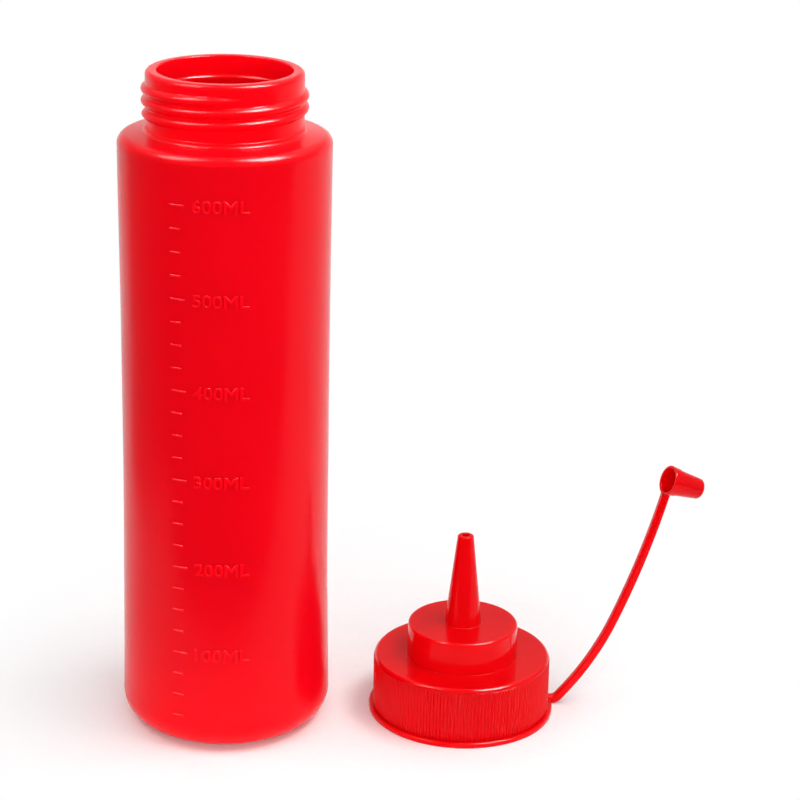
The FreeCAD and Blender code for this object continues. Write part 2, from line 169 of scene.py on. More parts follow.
class CapSizes(PropertyGroup):
    """Sizes of the cap's turned parts and grip ribs."""

    bore: length("Bore", 27.25, "Inner radius of the skirt")
    skirt: length("Skirt", 29.65, "Outer radius of the skirt under the ribs")
    flange_height: length("Flange height", 1.8, "Thickness of the flange")
    flange_round: length("Flange rounding", 0.5, "Rounding of the flange's rim")
    under_deck: length("Under deck", 19.1, "Height of the deck's underside")
    deck: length("Deck", 1.5, "Thickness of the deck")
    deck_round: length("Deck rounding", 1.3, "Rounding between deck and skirt")
    seal_outer: length("Plug seal", 21.15, "Outer radius of the plug seal")
    seal_wall: length("Seal wall", 1.0, "Wall of the plug seal")
    seal_depth: length("Seal depth", 2.2, "Height of the plug seal")
    turret: length("Turret", 18.5, "Outer radius of the turret at its top")
    turret_draft: length("Turret draft", 0.4, "How much wider the turret is at the deck")
    turret_height: length("Turret height", 11.3, "Deck to the turret's top")
    turret_wall: length("Turret wall", 1.6, "Wall and top of the turret")
    turret_round: length("Turret rounding", 0.9, "Rounding of the turret's top edge")
    nozzle_base: length("Nozzle base", 6.2, "Outer radius of the nozzle at the turret")
    nozzle_tip: length("Nozzle tip", 2.75, "Outer radius of the nozzle's tip")
    nozzle_height: length("Nozzle height", 31.8, "Turret to the nozzle's tip")
    nozzle_wall: length("Nozzle wall", 1.3, "Wall of the nozzle at its foot")
    nozzle_fillet: length("Nozzle fillet", 0.25, "Hollow rounding at the nozzle's foot")
    tip_round: length("Tip rounding", 0.7, "Rounding of the tip")
    outlet: length("Outlet", 1.25, "Radius of the outlet")
    outlet_length: length("Outlet length", 2.0, "Straight length of the outlet")
    ribs: IntProperty(name="Ribs", description="Grip ribs round the skirt", default=160)
    rib_height: length("Rib height", 0.34, "How far a grip rib stands out")
    thread_rise: length("Inner thread rise", 1.5, "How far the cap's own thread stands in")
    thread_start: length("Inner thread start", 5.0, "Height where the cap's thread starts")


class TetherSizes(PropertyGroup):
    """Sizes of the tether and of the cover that it carries."""

    azimuth: angle("Direction", 8.0, "Direction in which the tether leaves the cap")
    width: length("Width", 3.0, "Side to side")
    thickness: length("Thickness", 2.8, "Face to face")
    edge: length("Edge", 0.7, "Rounding of the tether's edges")
    height: length("Root height", 1.5, "Middle of the tether at its root")
    reach: length("Root reach", 0.3, "Flange's rim to the first bend")
    flare: length("Root flare", 1.7, "How much wider the root is, each side")
    root_radius: length("First bend", 3.2, "Radius of the bend beside the flange")
    root_turn: angle("First turn", 47.3, "Turn of the first bend")
    rise_radius: length("Second bend", 97.0, "Radius of the lower half of the rise")
    rise_turn: angle("Second turn", 19.5, "Turn of the second bend")
    top_radius: length("Third bend", 323.0, "Radius of the bend up to the cover")
    top_turn: angle("Third turn", 8.75, "Turn of the third bend")
    clearance: length("Cover clearance", 0.12, "Cover to the nozzle's tip")
    cover_depth: length("Cover depth", 12.4, "Depth of the cover's bore")
    cover_wall: length("Cover wall", 0.65, "Wall of the cover")
    cover_end: length("Cover end", 0.8, "Closed end of the cover")
    cover_round: length("Cover rounding", 1.3, "Rounding of the closed end")
    collar: length("Collar", 3.2, "Length of the collar at the cover's mouth")
    collar_step: length("Collar step", 0.24, "How far the collar stands out")
    twist: angle("Cover twist", 12.0, "Turn of the cover about the tether")
    lean: angle("Cover lean", 7.0, "How much further the cover tips down than the tether's end")
    overlap: length("Overlap", 0.6, "How far the tether runs into the cover's wall")


class PlasticLook(PropertyGroup):
    """Colours and finish of the two plastics."""

    bottle: colour("Bottle red", (0.95, 0.0008, 0.0075), "Colour of the blown bottle")
    bottle_deep: colour("Bottle shade", (0.92, 0.0004, 0.0065), "Where the wall is thicker")
    bottle_roughness: factor("Bottle roughness", 0.21, "Satin finish of the bottle")
    cap: colour("Cap red", (0.68, 0.0012, 0.0032), "Colour of the moulded cap")
    cap_deep: colour("Cap shade", (0.64, 0.0006, 0.0028), "Flow shade of the cap")
    cap_roughness: factor("Cap roughness", 0.1, "Polished finish of the cap")


class StageSettings(PropertyGroup):
    """Floor, lamps and camera."""

    floor: colour("Floor", (0.84, 0.84, 0.84), "Colour of the floor")
    lens: FloatProperty(name="Lens", description="Focal length in millimetres", default=108.0)
    camera_x: length("Camera X", 56.9, "Camera's place along X")
    camera_y: length("Camera Y", -738.4, "Camera's place along Y")
    camera_z: length("Camera Z", 375.6, "Camera's height")
    camera_pitch: angle("Camera pitch", 19.61, "How far the camera looks down")
    camera_roll: angle("Camera roll", 1.34, "Roll of the camera")
    key: factor("Right softbox", 7.5, "Radiance of the right softbox")
    fill: factor("Left softbox", 3.6, "Radiance of the left softbox")
    key_glint: factor("Right glint", 80.0, "Radiance of the right softbox in gloss alone")
    fill_glint: factor("Left glint", 21.0, "Radiance of the left softbox in gloss alone")
    front: factor("Front softbox", 4.8, "Radiance of the wide softbox in front")
    room_front: factor("Front wall", 0.6, "Radiance of the room's front wall")
    room_top: factor("Ceiling", 0.4, "Radiance of the room's ceiling")
    room_back: factor("Back wall", 0.4, "Radiance of the room above the background")
    room_high: factor("High back", 0.9, "Radiance high up behind the object")
    room_low: factor("Low front", 0.12, "Radiance in front of the floor's edge")
    lean_left: factor("Left lean", 0.95, "Share of the room's light that its left side gives")
    lean_right: factor("Right lean", 1.1, "Share of the room's light that its right side gives")


def settings():
    """The scene's own settings for this object."""
    return bpy.context.scene.squeeze_bottle


def stretch(first, last, bend, longest):
    """Points along one stretch of an outline, from its first point and without its last.

    A bend of 0 is a straight. A bend over 0 is the radius of an arc that bulges out of the
    solid, and a bend under 0 is the radius of a hollow one.
    """
    first, last = np.array(first), np.array(last)
    chord = last - first
    size = math.hypot(*chord)
    if not bend:
        count = max(1, math.ceil(size / longest))
        return [first + chord * step / count for step in range(count)]
    radius = abs(bend)
    side = math.copysign(1.0, bend)
    half = math.asin(min(1.0, size / 2 / radius))
    count = max(3, math.ceil(2 * half / math.radians(8)), math.ceil(2 * half * radius / longest))
    centre = (first + last) / 2 + side * radius * math.cos(half) / size * np.array([-chord[1], chord[0]])
    start = math.atan2(*(first - centre)[::-1])
    turns = [start + side * 2 * half * step / count for step in range(count)]
    return [centre + radius * np.array([math.cos(turn), math.sin(turn)]) for turn in turns]


def outline(steps, closed=False):
    """All points of an outline; each step is a point, a bend and the longest spacing."""
    points = []
    for number, (point, bend, longest) in enumerate(steps):
        if number + 1 == len(steps) and not closed:
            points.append(np.array(point))
            break
        points += stretch(point, steps[(number + 1) % len(steps)][0], bend, longest)
    return np.array(points)


def link_mesh(name, vertices, faces, crease=32.0):
    """A smooth-shaded object whose edges sharper than the crease stay sharp."""
    mesh = bpy.data.meshes.new(name)
    mesh.from_pydata([tuple(vertex) for vertex in vertices], [], faces)
    mesh.validate()
    mesh.shade_smooth()
    mesh.set_sharp_from_angle(angle=math.radians(crease))
    piece = bpy.data.objects.new(name, mesh)
    bpy.context.scene.collection.objects.link(piece)
    return piece


def turned(name, points, angles, closed=False, push=None, centre=Vector()):
    """A body of revolution. push gives a radial shift for each point and angle."""
    radius, height = points[:, :1], points[:, 1:]
    angles = np.asarray(angles)[None, :]
    reach = radius + (push(radius, height, angles) if push else 0 * angles)
    tiers = np.stack([reach * np.cos(angles), reach * np.sin(angles), height + 0 * angles], axis=2)
    vertices, rows = [], []
    for tier in tiers:
        start = len(vertices)
        if np.hypot(tier[0][0], tier[0][1]) < 1e-9:
            vertices.append(tier[0])
            rows.append([start] * len(tier))
        else:
            vertices += list(tier)
            rows.append(list(range(start, start + len(tier))))
    pairs = list(zip(rows, rows[1:] + rows[:1] if closed else rows[1:]))
    faces = [ring for lower, upper in pairs for ring in ring_faces(lower, upper)]
    return link_mesh(name, np.array(vertices) + np.array(centre), faces)


def ring_faces(lower, upper):
    """Faces between two rings of corners, where either ring may be one single corner."""
    count = len(lower)
    for here in range(count):
        there = (here + 1) % count
        corners = [lower[here], lower[there], upper[there], upper[here]]
        yield tuple(dict.fromkeys(corners))


def helix_ridge(height, angles, rise, width, pitch, top, end, turns, fade):
    """Height of a rounded helical ridge that climbs to the right and ends at top."""
    ridge = np.zeros(np.broadcast_shapes(np.shape(height), np.shape(angles)))
    start = end - turns * math.tau
    for lap in range(-math.ceil(turns) - 1, 2):
        turn = angles + lap * math.tau
        middle = top + (turn - end) / math.tau * pitch
        strength = np.clip(np.minimum(turn - start, end - turn) / fade, 0, 1)
        strength = strength * strength * (3 - 2 * strength)
        half = width / 2 * (0.35 + 0.65 * strength) + 1e-9
        across = np.clip(np.abs(height - middle) / half, 0, 1)
        ridge = np.maximum(ridge, strength * rise * (1 - across ** 2.2) ** 1.15)
    return ridge


def shell_side(sizes):
    """The outer side's steps, from the heel to the rim's inner edge."""
    shoulder = RIM_HEIGHT - sizes.neck_height
    foot = sizes.neck_radius + sizes.band_step + sizes.neck_fillet
    edge = sizes.top_radius - sizes.shoulder_round * (1 - math.sin(sizes.shoulder_slope))
    edge_top = shoulder - (edge - foot) * math.tan(sizes.shoulder_slope)
    side_top = edge_top - sizes.shoulder_round * math.cos(sizes.shoulder_slope)
    heel_rise = sizes.waist_height - sizes.heel_round
    heel_swell = HEEL_RADIUS - sizes.waist_radius
    top_rise = side_top - sizes.waist_height
    top_swell = sizes.top_radius - sizes.waist_radius
    lower = (heel_rise ** 2 + heel_swell ** 2) / (2 * heel_swell)
    upper = (top_rise ** 2 + top_swell ** 2) / (2 * top_swell)
    band = sizes.neck_radius + sizes.band_step
    return [
        ((HEEL_RADIUS - sizes.heel_round, 0), sizes.heel_round, 0.35 * MM),
        ((HEEL_RADIUS, sizes.heel_round), -lower, 2.6 * MM),
        ((sizes.waist_radius, sizes.waist_height), -upper, 2.6 * MM),
        ((sizes.top_radius, side_top), sizes.shoulder_round, 0.4 * MM),
        ((edge, edge_top), 0, 0.8 * MM),
        ((foot, shoulder), -sizes.neck_fillet, 0.3 * MM),
        ((band, shoulder + sizes.neck_fillet), 0, 1 * MM),
        ((band, shoulder + sizes.band_height), 0, 0.15 * MM),
        ((sizes.neck_radius, shoulder + sizes.band_height + sizes.band_step), 0, 0.19 * MM),
        ((sizes.neck_radius, RIM_HEIGHT - sizes.lip_round), sizes.lip_round, 0.4 * MM),
        ((sizes.neck_radius - sizes.lip_round, RIM_HEIGHT), 0, 0.5 * MM),
        ((sizes.mouth_radius + sizes.lip_edge, RIM_HEIGHT), sizes.lip_edge, 0.2 * MM),
    ]


def shell_radius(sizes, height):
    """Outer radius of the body at a height."""
    points = outline(shell_side(sizes))
    body = points[:np.argmax(points[:, 0] < sizes.neck_radius + sizes.band_step) or None]
    return float(np.interp(height, body[:, 1], body[:, 0]))


class BOTTLE_OT_shell(Operator):
    """Blow the bottle: domed base, faint waist, shoulder, threaded neck and open mouth"""

    bl_idname = "squeeze_bottle.shell"
    bl_label = "Blow the shell"
    bl_options = {"REGISTER", "UNDO"}

    def execute(self, context):
        sizes = settings().shell
        contact = HEEL_RADIUS - sizes.heel_round
        dome_edge = contact - sizes.contact_width
        dome = (dome_edge ** 2 + sizes.push_up ** 2) / (2 * sizes.push_up)
        side = shell_side(sizes)
        inner = sizes.wall
        edge, edge_top = side[4][0]
        slope = sizes.shoulder_slope
        inner_edge = (edge - inner * math.sin(slope), edge_top - inner * math.cos(slope))
        inner_foot = inner_edge[1] + (inner_edge[0] - sizes.neck_bore) * math.tan(slope)
        lip_foot = RIM_HEIGHT - sizes.lip_depth
        bead_foot = RIM_HEIGHT - sizes.bead_drop
        steps = [((0, sizes.push_up), -dome, 2 * MM), ((dome_edge, 0), 0, 0.6 * MM)] + side + [
            ((sizes.mouth_radius, RIM_HEIGHT - sizes.lip_edge), 0, 1 * MM),
            ((sizes.mouth_radius, bead_foot + sizes.bead), -sizes.bead, 0.2 * MM),
            ((sizes.mouth_radius - sizes.bead / 3, bead_foot + sizes.bead / 2), sizes.bead, 0.2 * MM),
            ((sizes.mouth_radius, bead_foot - sizes.bead / 2), 0, 1 * MM),
            ((sizes.mouth_radius, lip_foot), 0, 0.6 * MM),
            ((sizes.neck_bore, lip_foot - sizes.neck_bore + sizes.mouth_radius), 0, 1.6 * MM),
            ((sizes.neck_bore, inner_foot), 0, 1.6 * MM),
            (inner_edge, -(sizes.shoulder_round - inner), 0.6 * MM),
            ((sizes.top_radius - inner, side[3][0][1]), 0, 5 * MM),
            ((sizes.waist_radius - inner, sizes.waist_height), 0, 5 * MM),
            ((HEEL_RADIUS - inner, sizes.heel_round), -(sizes.heel_round - inner), 1 * MM),
            ((contact, inner), 0, 0.6 * MM),
            ((dome_edge, inner), dome, 2 * MM),
            ((0, sizes.push_up + inner), 0, 1 * MM),
        ]
        points = outline(steps)
        piece = turned("bottle_shell", points, self.angles(sizes), push=self.relief)
        piece.data.materials.append(bottle_plastic())
        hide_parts("bottle")
        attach(piece, "root")
        return {"FINISHED"}

    def angles(self, sizes):
        """Directions of the columns, closer together at the mould's parting line."""
        even = np.linspace(-math.pi, math.pi, 240, endpoint=False)
        across = sizes.seam_width / sizes.top_radius * np.linspace(-0.9, 0.9, 7)
        near = np.concatenate([sizes.seam_turn + across, math.pi - sizes.seam_turn + across])
        clear = np.min(np.abs(even[:, None] - near[None, :]), axis=1) > math.radians(0.25)
        return np.sort(np.concatenate([even[clear], near]))

    def relief(self, radius, height, angles):
        """Radial shift of the outer skin: thread, parting line, base line and unevenness."""
        sizes, thread = settings().shell, settings().thread
        outside = np.zeros_like(radius)
        top = np.argmax(height)
        outside[:top] = 1.0
        body = outside * np.clip((height - 2 * MM) / (12 * MM), 0, 1)
        body = body * np.clip((RIM_HEIGHT - sizes.neck_height - height) / (8 * MM), 0, 1)
        waves = (np.sin(2 * angles + 31 * height) + 0.7 * np.sin(3 * angles - 54 * height + 1.3)
                 + 0.5 * np.sin(5 * angles + 83 * height + 0.4))
        shift = sizes.wave * body * waves
        off_left = np.abs(angles - math.pi + sizes.seam_turn)
        off = np.minimum(np.abs(angles - sizes.seam_turn), off_left) * radius
        seam = np.exp(-(off / (sizes.seam_width / 2)) ** 2) * (radius > 20 * MM)
        shift = shift + sizes.seam_rise * seam * outside * (height < RIM_HEIGHT - 1 * MM)
        line = np.exp(-((height - sizes.base_line) / (0.22 * MM)) ** 2)
        shift = shift + 0.05 * MM * line * outside * (radius > HEEL_RADIUS - sizes.heel_round)
        neck = outside * (height > RIM_HEIGHT - sizes.neck_height + sizes.band_height)
        neck = neck * (radius > sizes.neck_radius - 0.5 * MM)
        ridge = helix_ridge(height, angles, thread.rise, thread.width, thread.pitch, thread.top,
                            thread.end, thread.turns, thread.fade)
        return shift + ridge * neck


def on_shell(azimuth, height, proud):
    """A point on the bottle's side; azimuth is measured from the front, to the right."""
    radius = shell_radius(settings().shell, height) + proud
    return Vector((radius * math.sin(azimuth), -radius * math.cos(azimuth), height))


class BOTTLE_OT_marks(Operator):
    """Raise the marks of the measuring scale"""

    bl_idname = "squeeze_bottle.marks"
    bl_label = "Raise the marks"
    bl_options = {"REGISTER", "UNDO"}

    def execute(self, context):
        sizes = settings().scale
        vertices, faces = [], []
        step = sizes.spacing / (sizes.between + 1)
        below = round(sizes.first / step) - 1
        for number in range(-below + 1, (sizes.labels - 1) * (sizes.between + 1) + 1):
            labelled = number >= 0 and number % (sizes.between + 1) == 0
            right = sizes.long_right if labelled else sizes.short_right
            self.bar(vertices, faces, sizes.left, right, sizes.first + number * step)
        piece = link_mesh("scale_marks", vertices, faces, crease=60.0)
        piece.data.materials.append(bottle_plastic("scale_relief_look", scatter=0.0))
        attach(piece, "root")
        return {"FINISHED"}

    def bar(self, vertices, faces, left, right, height):
        """One raised bar with rounded ends and edges, its foot let into the wall."""
        sizes = settings().scale
        across = np.linspace(-1, 1, 9)
        along = np.concatenate([np.linspace(0, 0.08, 5), np.linspace(0.15, 0.85, 9),
                                np.linspace(0.92, 1, 5)])
        start = len(vertices)
        for place in along:
            ends = min(1.0, min(place, 1 - place) / 0.08)
            full = math.sqrt(max(0.0, 1 - (1 - ends) ** 2))
            for side in across:
                crown = (1 - abs(side) ** 4) * full
                proud = sizes.relief * crown - 0.06 * MM * (1 - crown)
                offset = side * sizes.mark_width / 2 * (0.45 + 0.55 * full)
                azimuth = left + (right - left) * place
                vertices.append(on_shell(azimuth, height + offset, proud))
        count = len(across)
        for row in range(len(along) - 1):
            for column in range(count - 1):
                corner = start + row * count + column
                faces.append((corner, corner + count, corner + count + 1, corner + 1))
        rim = [start + column for column in range(count)]
        rim += [start + row * count + count - 1 for row in range(1, len(along))]
        rim += [start + (len(along) - 1) * count + column for column in range(count - 2, -1, -1)]
        rim += [start + row * count for row in range(len(along) - 2, 0, -1)]
        back = len(vertices)
        for corner in rim:
            point = Vector(vertices[corner])
            inward = Vector((-point.x, -point.y, 0)).normalized()
            vertices.append(point + inward * 0.3 * MM)
        turn = len(rim)
        for here in range(turn):
            there = (here + 1) % turn
            faces.append((rim[here], rim[there], back + there, back + here))
        faces.append(tuple(back + here for here in range(turn)))


class BOTTLE_OT_numbers(Operator):
    """Raise the numbers of the measuring scale"""

    bl_idname = "squeeze_bottle.numbers"
    bl_label = "Raise the numbers"
    bl_options = {"REGISTER", "UNDO"}

    def execute(self, context):
        sizes = settings().scale
        vertices, faces = [], []
        for number in range(sizes.labels):
            height = sizes.first + number * sizes.spacing
            self.wrap(vertices, faces, self.letters(f"{100 * (number + 1)}ML"), height)
        piece = link_mesh("scale_numbers", vertices, faces, crease=40.0)
        piece.data.materials.append(bottle_plastic("scale_relief_look", scatter=0.0))
        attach(piece, "root")
        return {"FINISHED"}

    def letters(self, words):
        """The mesh of a bevelled line of letters, 1 unit tall and lying flat."""
        curve = bpy.data.curves.new(words, "FONT")
        curve.body = words
        curve.size = 1.0
        curve.offset = -0.008
        curve.extrude = 0.03
        curve.bevel_depth = 0.03
        curve.bevel_resolution = 2
        curve.resolution_u = 6
        writing = bpy.data.objects.new(words, curve)
        bpy.context.scene.collection.objects.link(writing)
        graph = bpy.context.evaluated_depsgraph_get()
        mesh = bpy.data.meshes.new_from_object(writing.evaluated_get(graph))
        bpy.data.objects.remove(writing)
        bpy.data.curves.remove(curve)
        return mesh

    def wrap(self, vertices, faces, mesh, height):
        """Lay a line of letters on the bottle's side, centred on a height."""
        sizes = settings().scale
        spots = np.array([vertex.co for vertex in mesh.vertices])
        low, high = spots.min(axis=0), spots.max(axis=0)
        share = (spots - low) / (high - low)
        start = len(vertices)
        for across, up, out in share:
            azimuth = sizes.label_left + across * (sizes.label_right - sizes.label_left)
            level = height + (up - 0.5) * sizes.letter_height
            vertices.append(on_shell(azimuth, level, (2 * out - 1) * sizes.relief))
        faces += [tuple(start + corner for corner in face.vertices) for face in mesh.polygons]
        bpy.data.meshes.remove(mesh)


class BOTTLE_OT_cap(Operator):
    """Mould the cap: skirt with flange and inner thread, deck, plug seal, turret and nozzle"""

    bl_idname = "squeeze_bottle.cap"
    bl_label = "Mould the cap"
    bl_options = {"REGISTER", "UNDO"}

    def execute(self, context):
        sizes = settings().cap
        deck = sizes.under_deck + sizes.deck
        turret = deck + sizes.turret_height
        tip = turret + sizes.nozzle_height
        seal_inner = sizes.seal_outer - sizes.seal_wall
        hollow = min(sizes.turret - sizes.turret_wall, seal_inner - 1 * MM)
        seal_foot = sizes.under_deck - sizes.seal_depth
        core = sizes.skirt - 0.15 * MM
        steps = [
            ((sizes.bore, 0), 0, 1 * MM),
            ((FLANGE_RADIUS - sizes.flange_round, 0), sizes.flange_round, 0.2 * MM),
            ((FLANGE_RADIUS, sizes.flange_round), 0, 0.4 * MM),
            ((FLANGE_RADIUS, sizes.flange_height - sizes.flange_round), sizes.flange_round, 0.2 * MM),
            ((FLANGE_RADIUS - sizes.flange_round, sizes.flange_height), 0, 0.5 * MM),
            ((core, sizes.flange_height), 0, 2 * MM),
            ((core, deck - sizes.deck_round - 0.4 * MM), 0, 0.4 * MM),
            ((sizes.skirt, deck - sizes.deck_round), sizes.deck_round, 0.3 * MM),
            ((sizes.skirt - sizes.deck_round, deck), 0, 1 * MM),
            ((sizes.turret + sizes.turret_draft + 0.1 * MM, deck), -0.1 * MM, 0.2 * MM),
            ((sizes.turret + sizes.turret_draft, deck + 0.1 * MM), 0, 1 * MM),
            ((sizes.turret, turret - sizes.turret_round), sizes.turret_round, 0.25 * MM),
            ((sizes.turret - sizes.turret_round, turret), 0, 1 * MM),
            ((sizes.nozzle_base + sizes.nozzle_fillet, turret), -sizes.nozzle_fillet, 0.25 * MM),
            ((sizes.nozzle_base, turret + sizes.nozzle_fillet), 0, 1 * MM),
            ((sizes.nozzle_tip, tip - sizes.tip_round), sizes.tip_round, 0.2 * MM),
            ((sizes.nozzle_tip - sizes.tip_round, tip), 0, 0.3 * MM),
            ((sizes.outlet + 0.25 * MM, tip), 0.25 * MM, 0.1 * MM),
            ((sizes.outlet, tip - 0.25 * MM), 0, 0.5 * MM),
            ((sizes.outlet, tip - sizes.outlet_length), 0, 2 * MM),
            ((sizes.nozzle_base - sizes.nozzle_wall, turret - sizes.turret_wall), 0, 1 * MM),
            ((hollow, turret - sizes.turret_wall), 0, 1 * MM),
            ((hollow, sizes.under_deck), 0, 1 * MM),
            ((seal_inner, sizes.under_deck), 0, 1 * MM),
            ((seal_inner, seal_foot), 0, 0.5 * MM),
            ((sizes.seal_outer, seal_foot), 0, 1 * MM),
            ((sizes.seal_outer, sizes.under_deck), 0, 1 * MM),
            ((sizes.bore, sizes.under_deck), 0, 0.3 * MM),
        ]
        points = outline(steps, closed=True)
        angles = np.linspace(-math.pi, math.pi, 288, endpoint=False)
        piece = turned("cap_moulding", points, angles, closed=True, push=self.inner_thread,
                       centre=CAP_AXIS)
        piece.data.materials.append(cap_plastic())
        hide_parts("cap")
        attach(piece, "root")
        return {"FINISHED"}

    def inner_thread(self, radius, height, angles):
        """The cap's own thread stands inwards from the bore."""
        sizes, thread = settings().cap, settings().thread
        bore = (np.abs(radius - sizes.bore) < 1e-6) & (height > 1 * MM)
        turns = 1.7
        ridge = helix_ridge(height, angles, sizes.thread_rise, thread.width * 0.8, thread.pitch,
                            sizes.thread_start + turns * thread.pitch, thread.end, turns, thread.fade)
        return -ridge * bore


class BOTTLE_OT_grip(Operator):
    """Rib the cap's skirt"""

    bl_idname = "squeeze_bottle.grip"
    bl_label = "Rib the skirt"
    bl_options = {"REGISTER", "UNDO"}

    def execute(self, context):
        sizes = settings().cap
        top = sizes.under_deck + sizes.deck - sizes.deck_round
        foot = sizes.flange_height
        inner = sizes.skirt - 0.6 * MM
        steps = [
            ((inner, foot - 0.3 * MM), 0, 2 * MM),
            ((sizes.skirt, foot - 0.3 * MM), 0, 0.3 * MM),
            ((sizes.skirt, foot + 0.3 * MM), 0, 3 * MM),
            ((sizes.skirt, top - 0.9 * MM), 0, 0.13 * MM),
            ((sizes.skirt, top), 0, 1 * MM),
            ((inner, top - 0.02 * MM), 0, 4 * MM),
        ]
        points = outline(steps, closed=True)
        angles = np.linspace(-math.pi, math.pi, sizes.ribs * 10, endpoint=False)
        piece = turned("cap_grip", points, angles, closed=True, push=self.ribs, centre=CAP_AXIS)
        piece.data.materials.append(cap_plastic())
        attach(piece, "root")
        return {"FINISHED"}

    def ribs(self, radius, height, angles):
        """Rounded upright ribs that die out at the top of the skirt."""
        sizes = settings().cap
        top = sizes.under_deck + sizes.deck - sizes.deck_round
        outer = np.abs(radius - sizes.skirt) < 1e-6
        fade = np.clip((top - height) / (0.9 * MM), 0, 1)
        fade = np.sqrt(1 - (1 - fade) ** 2)
        crest = (0.5 + 0.5 * np.cos(sizes.ribs * angles)) ** 0.85
        return outer * sizes.rib_height * fade * crest


def tether_route(sizes):
    """The tether's middle line: lists of reach, height and heading in the tether's own plane."""
    start = FLANGE_RADIUS + sizes.reach
    reaches = list(np.linspace(settings().cap.skirt - 0.5 * MM, start, 9))
    heights = [sizes.height] * len(reaches)
    headings = [0.0] * len(reaches)
    place = np.array([start, sizes.height])
    heading = 0.0
    bends = [(sizes.root_radius, sizes.root_turn, 12), (sizes.rise_radius, sizes.rise_turn, 30),
             (sizes.top_radius, sizes.top_turn, 36)]
    for radius, turn, count in bends:
        centre = place + radius * np.array([-math.sin(heading), math.cos(heading)])
        for step in range(1, count + 1):
            now = heading + turn * step / count
            reaches.append(centre[0] + radius * math.sin(now))
            heights.append(centre[1] - radius * math.cos(now))
            headings.append(now)
        heading += turn
        place = np.array([reaches[-1], heights[-1]])
    return reaches, heights, headings


def from_tether(sizes, reach, aside, height):
    """A place in the frame from one beside the tether's plane."""
    turn = Matrix.Rotation(sizes.azimuth, 3, "Z")
    return CAP_AXIS + turn @ Vector((reach, aside, height))


class BOTTLE_OT_tether(Operator):
    """Mould the tether that rises from the cap's flange to the tip cover"""

    bl_idname = "squeeze_bottle.tether"
    bl_label = "Mould the tether"
    bl_options = {"REGISTER", "UNDO"}

    def execute(self, context):
        sizes = settings().tether
        reaches, heights, headings = tether_route(sizes)
        vertices, faces = [], []
        rings = []
        for reach, height, heading in zip(reaches, heights, headings):
            rings.append(self.ring(vertices, reach, height, heading))
        for lower, upper in zip(rings, rings[1:]):
            faces += [tuple(face) for face in ring_faces(lower, upper)]
        faces += [tuple(reversed(rings[0])), tuple(rings[-1])]
        piece = link_mesh("cap_tether", vertices, faces, crease=50.0)
        piece.data.materials.append(cap_plastic())
        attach(piece, "root")
        return {"FINISHED"}

    def ring(self, vertices, reach, height, heading):
        """One rounded section across the tether, wider where it grows out of the skirt."""
        sizes = settings().tether
        skirt = settings().cap.skirt
        start = FLANGE_RADIUS + sizes.reach
        near = min(1.0, max(0.0, (start - reach) / (start - skirt)))
        half_width = sizes.width / 2 + sizes.flare * near ** 1.8
        half_thick = sizes.thickness / 2
        first = len(vertices)
        for corner in range(4):
            middle = Vector(((half_width - sizes.edge) * (1 if corner in (0, 3) else -1),
                             (half_thick - sizes.edge) * (1 if corner < 2 else -1)))
            for step in range(5):
                turn = math.pi / 2 * (corner + step / 4)
                spot = middle + sizes.edge * Vector((math.cos(turn), math.sin(turn)))
                lift = Vector((-math.sin(heading), math.cos(heading))) * spot.y
                vertices.append(from_tether(sizes, reach + lift.x, -spot.x, height + lift.y))
        return list(range(first, len(vertices)))


class BOTTLE_OT_cover(Operator):
    """Mould the hollow tip cover at the tether's end"""

    bl_idname = "squeeze_bottle.cover"
    bl_label = "Mould the tip cover"
    bl_options = {"REGISTER", "UNDO"}

    def execute(self, context):
        cap, sizes = settings().cap, settings().tether
        taper = (cap.nozzle_base - cap.nozzle_tip) / cap.nozzle_height
        deep = cap.nozzle_tip + sizes.clearance
        mouth = deep + sizes.cover_depth * taper
        outer = mouth + sizes.cover_wall + sizes.collar_step
        collar = outer - sizes.collar * taper
        total = sizes.cover_depth + sizes.cover_end
        end = deep + sizes.cover_wall + (sizes.cover_round - sizes.cover_end) * taper
        lip = 0.2 * MM
        steps = [
            ((mouth + lip, 0), 0, 0.2 * MM),
            ((outer - lip, 0), lip, 0.1 * MM),
            ((outer, lip), 0, 0.5 * MM),
            ((collar, sizes.collar), 0, 0.08 * MM),
            ((collar - sizes.collar_step, sizes.collar + sizes.collar_step), 0, 0.6 * MM),
            ((end, total - sizes.cover_round), sizes.cover_round, 0.15 * MM),
            ((end - sizes.cover_round, total), 0, 0.6 * MM),
            ((0, total), 0, 1 * MM),
        ]
        bore = [
            ((0, sizes.cover_depth), 0, 1 * MM),
            ((deep, sizes.cover_depth), 0, 1 * MM),
            ((mouth, lip), lip, 0.1 * MM),
            ((mouth + lip, 0), 0, 1 * MM),
        ]
        points = np.concatenate([outline(steps), outline(bore)[:-1]])
        angles = np.linspace(-math.pi, math.pi, 96, endpoint=False)
        piece = turned("cap_tip_cover", points, angles, closed=True)
        piece.data.transform(self.placement(sizes, outer))
        piece.data.materials.append(cap_plastic())
        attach(piece, "root")
        return {"FINISHED"}

    def placement(self, sizes, outer):
        """Stands the cover across the tether's end, turned a little about the tether."""
        reaches, heights, headings = tether_route(sizes)
        heading = headings[-1] - sizes.lean
        reach = outer - sizes.overlap
        half = sizes.thickness / 2
        along = Vector((math.cos(heading), 0, math.sin(heading)))
        across = Vector((-math.sin(heading) * math.cos(sizes.twist), -math.sin(sizes.twist),
                         math.cos(heading) * math.cos(sizes.twist)))
        middle = Vector((reaches[-1], 0, heights[-1])) + along * reach + across * half
        turn = Matrix.Rotation(sizes.azimuth, 3, "Z")
        axis = turn @ -across
        place = CAP_AXIS + turn @ middle
        return Matrix.Translation(place) @ axis.to_track_quat("Z", "Y").to_matrix().to_4x4()


